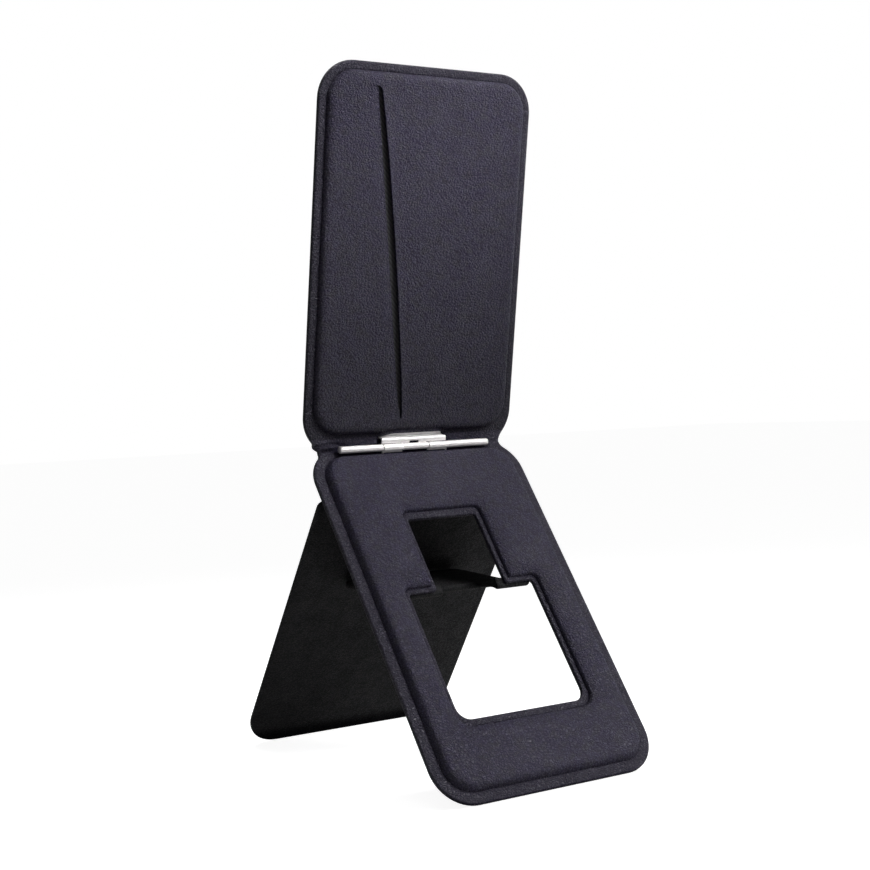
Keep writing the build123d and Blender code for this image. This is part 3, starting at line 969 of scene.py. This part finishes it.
def leather(name, tints, rim_tint, grain_scale, grain_depth, roughness, hinge_end_brightness=1.0):
    """Pebbled leather: tints drift over the hide, rim_tint is for flat rims, the last argument is the
    brightness left at the hinge end, where shade is painted on; occlusion paints shade into creases and
    hollows.
    """
    n = Nodes(name)
    grain = n.add("Attribute", attribute_name="grain").outputs["Vector"]
    wander = n.add("TexNoise", {"Vector": grain, "Scale": 0.9, "Detail": 2.0}).outputs["Color"]
    steps = {0: wander, 1: (1.3, 1.3, 0.0), 2: grain}
    bent = n.add("VectorMath", steps, operation="MULTIPLY_ADD").outputs[0]
    wide = n.stretch(bent, (0.8, 1.2, 1.0))
    pebble = n.ramp(n.cells(wide, grain_scale), 0.0, 0.3)
    crease = n.ramp(n.cells(wide, grain_scale * 0.4), 0.0, 0.14)
    pores = n.noise(grain, 6.5, 3.0, 0.6)
    patches = n.noise(grain, 0.055, 3.0, 0.6)
    blotch = n.noise(n.stretch(grain, (1.0, 1.3, 1.0)), 0.35, 4.0, 0.65)
    rubbed = n.noise(grain, 0.16, 3.0, 0.6)
    _, along, height = n.add("SeparateXYZ", {0: grain}).outputs
    color = n.mix(n.ramp(patches, 0.38, 0.62), tints[0] + (1,), tints[1] + (1,))
    color = n.mix(n.ramp(blotch, 0.42, 0.66, 0.0, 0.75), color, tints[2] + (1,))
    color = n.mix(n.ramp(height, SKIN * 0.98, SKIN * 1.7, 0.85, 0.0), color, rim_tint + (1,))
    # Dark tone for the dark-painted cut edges and the grain's grooves, and for the painted shade in hollows
    # below.
    edge_grain_and_shade_dark = tuple(0.25 * c for c in tints[0]) + (1,)
    color = n.mix(n.ramp(height, 0.3, 0.5, 0.9, 0.0), color, edge_grain_and_shade_dark)
    color = n.mix(n.ramp(pebble, 0.0, 1.0, 0.55, 0.0), color, edge_grain_and_shade_dark)
    # Painted shade: the colour darkens towards the hinge end of the leaf (y = 0) by the share the last
    # argument leaves out; 1 leaves it unshaded.
    color = n.mix(n.ramp(along, 0.0, 85.0, 1 - hinge_end_brightness, 0.0), color, (0, 0, 0, 1))
    # Painted shade: an ambient occlusion node darkens creases, walls and hollows towards the dark tone.
    occlusion_shade = n.add("AmbientOcclusion", {"Distance": 5 * MM}, samples=6).outputs["AO"]
    color = n.mix(n.ramp(occlusion_shade, 0.35, 0.95, 0.85, 0.0), color, edge_grain_and_shade_dark)
    relief = n.math("MULTIPLY_ADD", crease, 0.5, n.math("MULTIPLY_ADD", pores, 0.25, pebble))
    normal = n.bump(relief, grain_depth, 1.0)
    shine = n.math("ADD", n.ramp(rubbed, 0.35, 0.65, roughness + 0.05, roughness - 0.06),
                   n.ramp(pebble, 0.0, 1.0, 0.25, 0.0))
    # The same occlusion lowers the specular level in hollows: painted shade on the reflections.
    occlusion_specular = n.ramp(occlusion_shade, 0.4, 0.95, 0.02, 0.3)
    return n.finish(color, shine, normal, Specular_IOR_Level=occlusion_specular, Sheen_Weight=0.0)


def satin_steel(name, tint, roughness, brushed, metallic):
    """Bright drawn steel with fine lines along the hinge and slight handling marks."""
    n = Nodes(name)
    place = n.add("TexCoord").outputs["Object"]
    lines = n.noise(n.stretch(place, brushed), 1000.0, 3.0, 0.6)
    marks = n.noise(place, 420.0, 4.0, 0.6)
    color = n.mix(n.ramp(marks, 0.4, 0.7), tint + (1,), tuple(0.88 * c for c in tint) + (1,))
    shine = n.math("ADD", n.ramp(lines, 0.3, 0.7, roughness - 0.05, roughness + 0.07),
                   n.ramp(marks, 0.45, 0.75, 0.0, 0.08))
    normal = n.bump(lines, 0.006, 0.6)
    return n.finish(color, shine, normal, Metallic=metallic)


def twill(name):
    """Fine black twill for the pocket lining."""
    n = Nodes(name)
    place = n.add("TexCoord").outputs["Object"]
    turned_place = n.add("Mapping", {"Vector": place, "Rotation": (0.2, 0.5, 0.8)}).outputs["Vector"]
    ribs = n.add("TexWave", {"Vector": turned_place, "Scale": 420.0, "Distortion": 1.2, "Detail": 2.0},
                 wave_type="BANDS").outputs["Fac"]
    fuzz = n.noise(place, 3000.0, 3.0)
    color = n.mix(ribs, (0.003, 0.003, 0.004, 1), (0.012, 0.011, 0.013, 1))
    normal = n.bump(n.math("ADD", ribs, n.math("MULTIPLY", fuzz, 0.3)), 0.08, 0.9)
    return n.finish(color, 0.9, normal, Sheen_Weight=0.2)


def fibreboard(name):
    """Pressed fibre core."""
    n = Nodes(name)
    place = n.add("TexCoord").outputs["Object"]
    fibres = n.noise(n.stretch(place, (1.0, 1.0, 4.0)), 900.0, 4.0, 0.65)
    flecks = n.noise(place, 2600.0, 2.0)
    color = n.mix(n.ramp(fibres, 0.35, 0.7), (0.10, 0.08, 0.06, 1), (0.22, 0.18, 0.135, 1))
    color = n.mix(n.ramp(flecks, 0.55, 0.75), color, (0.05, 0.04, 0.035, 1))
    return n.finish(color, 0.85, n.bump(fibres, 0.05, 0.7))


PANEL_TINTS = ((0.038, 0.032, 0.066), (0.044, 0.038, 0.070), (0.042, 0.039, 0.052))
PANEL_RIM = (0.040, 0.036, 0.053)
panel_leather = leather("panel_leather", PANEL_TINTS, PANEL_RIM, 1.55, 0.18, 0.46)
# Upper front leather: the panel leather with painted shade towards the hinge end.
upper_leather_hinge_shaded = leather("upper_leather_hinge_shaded", PANEL_TINTS, PANEL_RIM, 1.55, 0.18, 0.46, 0.55)
# Leg and strut leather: a near-black copy of the panel leather; its darkness is painted shade for pieces
# that sit in shade behind and under the lower panel.
leg_leather = leather(
    "leg_leather", ((0.0055, 0.0052, 0.0082), (0.0066, 0.0063, 0.0092), (0.0048, 0.0048, 0.0062)),
    (0.0065, 0.0063, 0.0075), 1.7, 0.08, 0.6)
hinge_steel = satin_steel("hinge_steel", (0.93, 0.90, 0.90), 0.36, (0.06, 1.0, 1.0), 0.45)
plate_steel = satin_steel("plate_steel", (0.5, 0.5, 0.51), 0.4, (0.2, 1.0, 1.0), 1.0)
magnet_nickel = satin_steel("magnet_nickel", (0.66, 0.65, 0.62), 0.22, (1.0, 1.0, 1.0), 1.0)
pocket_cloth = twill("pocket_cloth")
board_fibre = fibreboard("board_fibre")


# ---- pieces ----
STEEL_BEVEL = 0.07
FLIP = Matrix.Diagonal((1, 1, -1, 1))
ROW = Matrix.Scale(MM, 4)


def dress(obj, material):
    """Gives a piece its material."""
    obj.data.materials.clear()
    obj.data.materials.append(material)


def as_is(x, y, z):
    return x, y, z


def leaf_piece(name, builder, place, body, material, stands_for, grain=as_is):
    """Piece that moves with one body."""
    obj = builder.piece(name, place, grain)
    dress(obj, material)
    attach(obj, body)
    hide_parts(*stands_for)
    return obj


def from_lower(x, y, z):
    """Carries the grain of the neck on into the lower panel."""
    return -x, -y - 2.4, z


def apart(offset):
    """Grain from another part of the hide."""
    return lambda x, y, z: (x + offset, y + 2 * offset, z)


def build_panels():
    leaf_piece("upper_front_cover", upper_front_mesh(), upper, "upper_panel",
               upper_leather_hinge_shaded, ["upper_front_leather"])
    leaf_piece("upper_back_cover", back_mesh(upper_high[1], UPPER_NECK, False), upper @ FLIP, "upper_panel",
               panel_leather, ["upper_back_leather"], apart(130))
    leaf_piece("lower_front_cover", lower_front_mesh(), lower, "lower_panel",
               panel_leather, ["frame_front_leather"], from_lower)
    leaf_piece("lower_back_cover", back_mesh(lower_high[1], LOWER_NECK, True), lower @ FLIP, "lower_panel",
               panel_leather, ["frame_back_leather"], apart(260))


def build_neck():
    builder, grain, start, end = neck_mesh()
    neck = builder.piece("neck_leather", ROW, grain)
    dress(neck, panel_leather)
    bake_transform(neck)


def build_leg():
    leaf_piece("leg_outer_cover", leg_outer_mesh(), leg @ FLIP, "rear_leg",
               leg_leather, ["leg_outer_leather"], apart(400))
    leaf_piece("leg_inner_cover", leg_inner_mesh(), leg, "rear_leg",
               leg_leather, ["leg_inner_leather"], apart(540))
    points = [
        side_view(lower, 5.0, -SKIN - 0.2), side_view(lower, 9.0, -SKIN - 0.2),
        side_view(lower, 12.0, -SKIN - 0.24), side_view(leg, -0.35, -0.35),
        side_view(leg, 0.9, -LEG_SKIN - 0.22), side_view(leg, 2.9, -LEG_SKIN - 0.2),
    ]
    path = smooth_path(points, 8)
    halves = np.linspace(30.0, 31.2, len(path))
    builder, grain = strip_mesh(path, halves, 0.4)
    fold = builder.piece("leg_fold_leather", ROW, grain)
    dress(fold, leg_leather)
    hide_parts("leg_hinge_strip")
    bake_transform(fold)


def build_strut():
    leaf_piece("strut_flap", strut_mesh(), strut, "strut",
               leg_leather, ["strut_upper_leather", "strut_lower_leather"], apart(700))
    path = ear_path()
    middle = (STRUT_EAR[0] + STRUT_EAR[1]) / 2
    half = (STRUT_EAR[1] - STRUT_EAR[0]) / 2
    for name, middle_x in (("strut_ear_left", -middle), ("strut_ear_right", middle)):
        builder, grain = strip_mesh(path, [half] * len(path), EAR_THICKNESS, middle_x)
        ear = builder.piece(name, ROW, grain)
        dress(ear, leg_leather)
        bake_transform(ear)


def build_hinge():
    edges = (0.7, SLOT_HALF, 2.6, BARREL_HALF, KNUCKLE[0], 6.0, 8.0, LEAF_HALF, KNUCKLE[1], BAR_HALF)
    xs = sorted([-x for x in edges] + list(edges))
    upper_set = (upper.inverted() @ hinge).z
    lower_set = (lower.inverted() @ hinge).z
    leaf_a = sheet_metal(upper_leaf_path(upper_set), xs, upper_keep)
    leaf_b = sheet_metal(lower_leaf_path(lower_set), xs, lower_keep)
    a = leaf_piece("hinge_leaf_upper", leaf_a, upper, "upper_panel",
                   hinge_steel, ["upper_hinge_leaf"])
    b = leaf_piece("hinge_leaf_lower", leaf_b, lower, "lower_panel",
                   hinge_steel, ["lower_hinge_leaf"])
    bevelled(a, STEEL_BEVEL)
    bevelled(b, STEEL_BEVEL)
    for name, side_sign in (("hinge_sleeve_left", 1), ("hinge_sleeve_right", -1)):
        leaf_piece(name, sleeve_mesh(lower_set, side_sign), lower, "lower_panel",
                   hinge_steel, ["hinge_sleeves"])


def finish_inside():
    """Better materials for the CAD nodes that keep their shape."""
    looks = (
        (hinge_steel, ("hinge_pin", "upper_leaf_rivets", "lower_leaf_rivets")),
        (pocket_cloth, ("card_pocket_lining",)),
        (magnet_nickel, ("magnet_ring", "alignment_magnet", "latch_magnets", "strut_magnets")),
        (plate_steel, ("magnet_shield", "leg_keeper_plates", "strut_catch_plate")),
        (board_fibre, ("upper_board", "frame_board", "leg_board", "strut_board")),
    )
    for material, nodes in looks:
        for node in nodes:
            dress(frame["nodes"][node], material)


# ---- studio ----
CAMERA_PLACE = Vector((-228.35, -352.59, 92.92)) * MM
CAMERA_AZIMUTH = -0.58749
CAMERA_ELEVATION = 0.02011
CAMERA_ROLL = -0.0423
CAMERA_LENS = 65.4
AMBIENT = 0.12
FLOOR_SEEN = 0.9
FLOOR_GLOW = 0.1
LIGHTS = {                  # place, aim, size, spread in degrees and radiance of each light
    "top_beam": ((0.12, -0.2, 0.36), (0.0, 0.015, 0.175), (0.12, 0.1), 36, 2.8),
    "low_beam": ((0.2, -0.25, 0.3), (0.0, -0.055, 0.01), (0.16, 0.12), 38, 1.6),
    "back_edge": ((0.05, 0.16, 0.5), (0.0, 0.0, 0.14), (0.3, 0.2), 120, 2.6),
    "front_card": ((-0.1, -0.95, 0.2), (0.0, 0.0, 0.08), (0.7, 0.5), 180, 0.4),
    "right_card": ((0.7, -0.3, 0.2), (0.0, 0.0, 0.08), (0.4, 0.5), 180, 0.7),
}


def add_camera():
    right = Vector((math.cos(CAMERA_AZIMUTH), math.sin(CAMERA_AZIMUTH), 0))
    level_back = Vector((math.sin(CAMERA_AZIMUTH), -math.cos(CAMERA_AZIMUTH), 0))
    back = level_back * math.cos(CAMERA_ELEVATION) + UP * math.sin(CAMERA_ELEVATION)
    up = back.cross(right)
    c, s = math.cos(CAMERA_ROLL), math.sin(CAMERA_ROLL)
    turn = Matrix((c * right + s * up, -s * right + c * up, back)).transposed().to_4x4()
    data = bpy.data.cameras.new("studio_camera")
    data.lens = CAMERA_LENS
    data.sensor_width = 36.0
    data.clip_start = 0.01
    camera = bpy.data.objects.new("studio_camera", data)
    bpy.context.scene.collection.objects.link(camera)
    camera.matrix_world = Matrix.Translation(CAMERA_PLACE) @ turn
    bpy.context.scene.camera = camera


def soft_light(name, place, aim, size, spread, radiance):
    """Area light pointed at a place on the stand; its power follows from its size and radiance."""
    data = bpy.data.lights.new(name, "AREA")
    data.shape = "RECTANGLE"
    data.size, data.size_y = size
    data.spread = math.radians(spread)
    data.energy = math.pi * size[0] * size[1] * radiance
    light = bpy.data.objects.new(name, data)
    light.location = place
    light.rotation_euler = (Vector(aim) - Vector(place)).to_track_quat("-Z", "Y").to_euler()
    bpy.context.scene.collection.objects.link(light)


def camera_only(tree, seen, unseen):
    """Value that differs between what the camera sees and what lights the stand."""
    rays = tree.nodes.new("ShaderNodeLightPath")
    mix = tree.nodes.new("ShaderNodeMix")
    tree.links.new(rays.outputs["Is Camera Ray"], mix.inputs[0])
    mix.inputs[2].default_value = unseen
    mix.inputs[3].default_value = seen
    return mix.outputs[0]


def add_floor():
    builder = Builder()
    size = 3000.0
    builder.points = [(-size, -size, 0), (size, -size, 0), (size, size, 0), (-size, size, 0)]
    builder.faces = [(0, 1, 2, 3)]
    floor = builder.piece("floor", ROW, as_is)
    n = Nodes("floor_white")
    n.finish((0.6, 0.6, 0.6, 1), 0.8, None, Emission_Color=(1, 1, 1, 1),
             Emission_Strength=camera_only(n.tree, FLOOR_SEEN, FLOOR_GLOW))
    floor.data.materials.append(n.material)


def add_world():
    world = bpy.data.worlds.new("studio")
    bpy.context.scene.world = world
    world.use_nodes = True
    tree = world.node_tree
    background = tree.nodes["Background"]
    background.inputs["Color"].default_value = (1, 1, 1, 1)
    tree.links.new(camera_only(tree, 1.0, AMBIENT), background.inputs["Strength"])


def add_studio():
    add_floor()
    add_world()
    for name, (place, aim, size, spread, radiance) in LIGHTS.items():
        soft_light(name, place, aim, size, spread, radiance)
    bpy.context.scene.view_settings.view_transform = "Standard"
    add_camera()


build_panels()
build_neck()
build_leg()
build_strut()
build_hinge()
finish_inside()
add_studio()

bpy.context.view_layer.update()
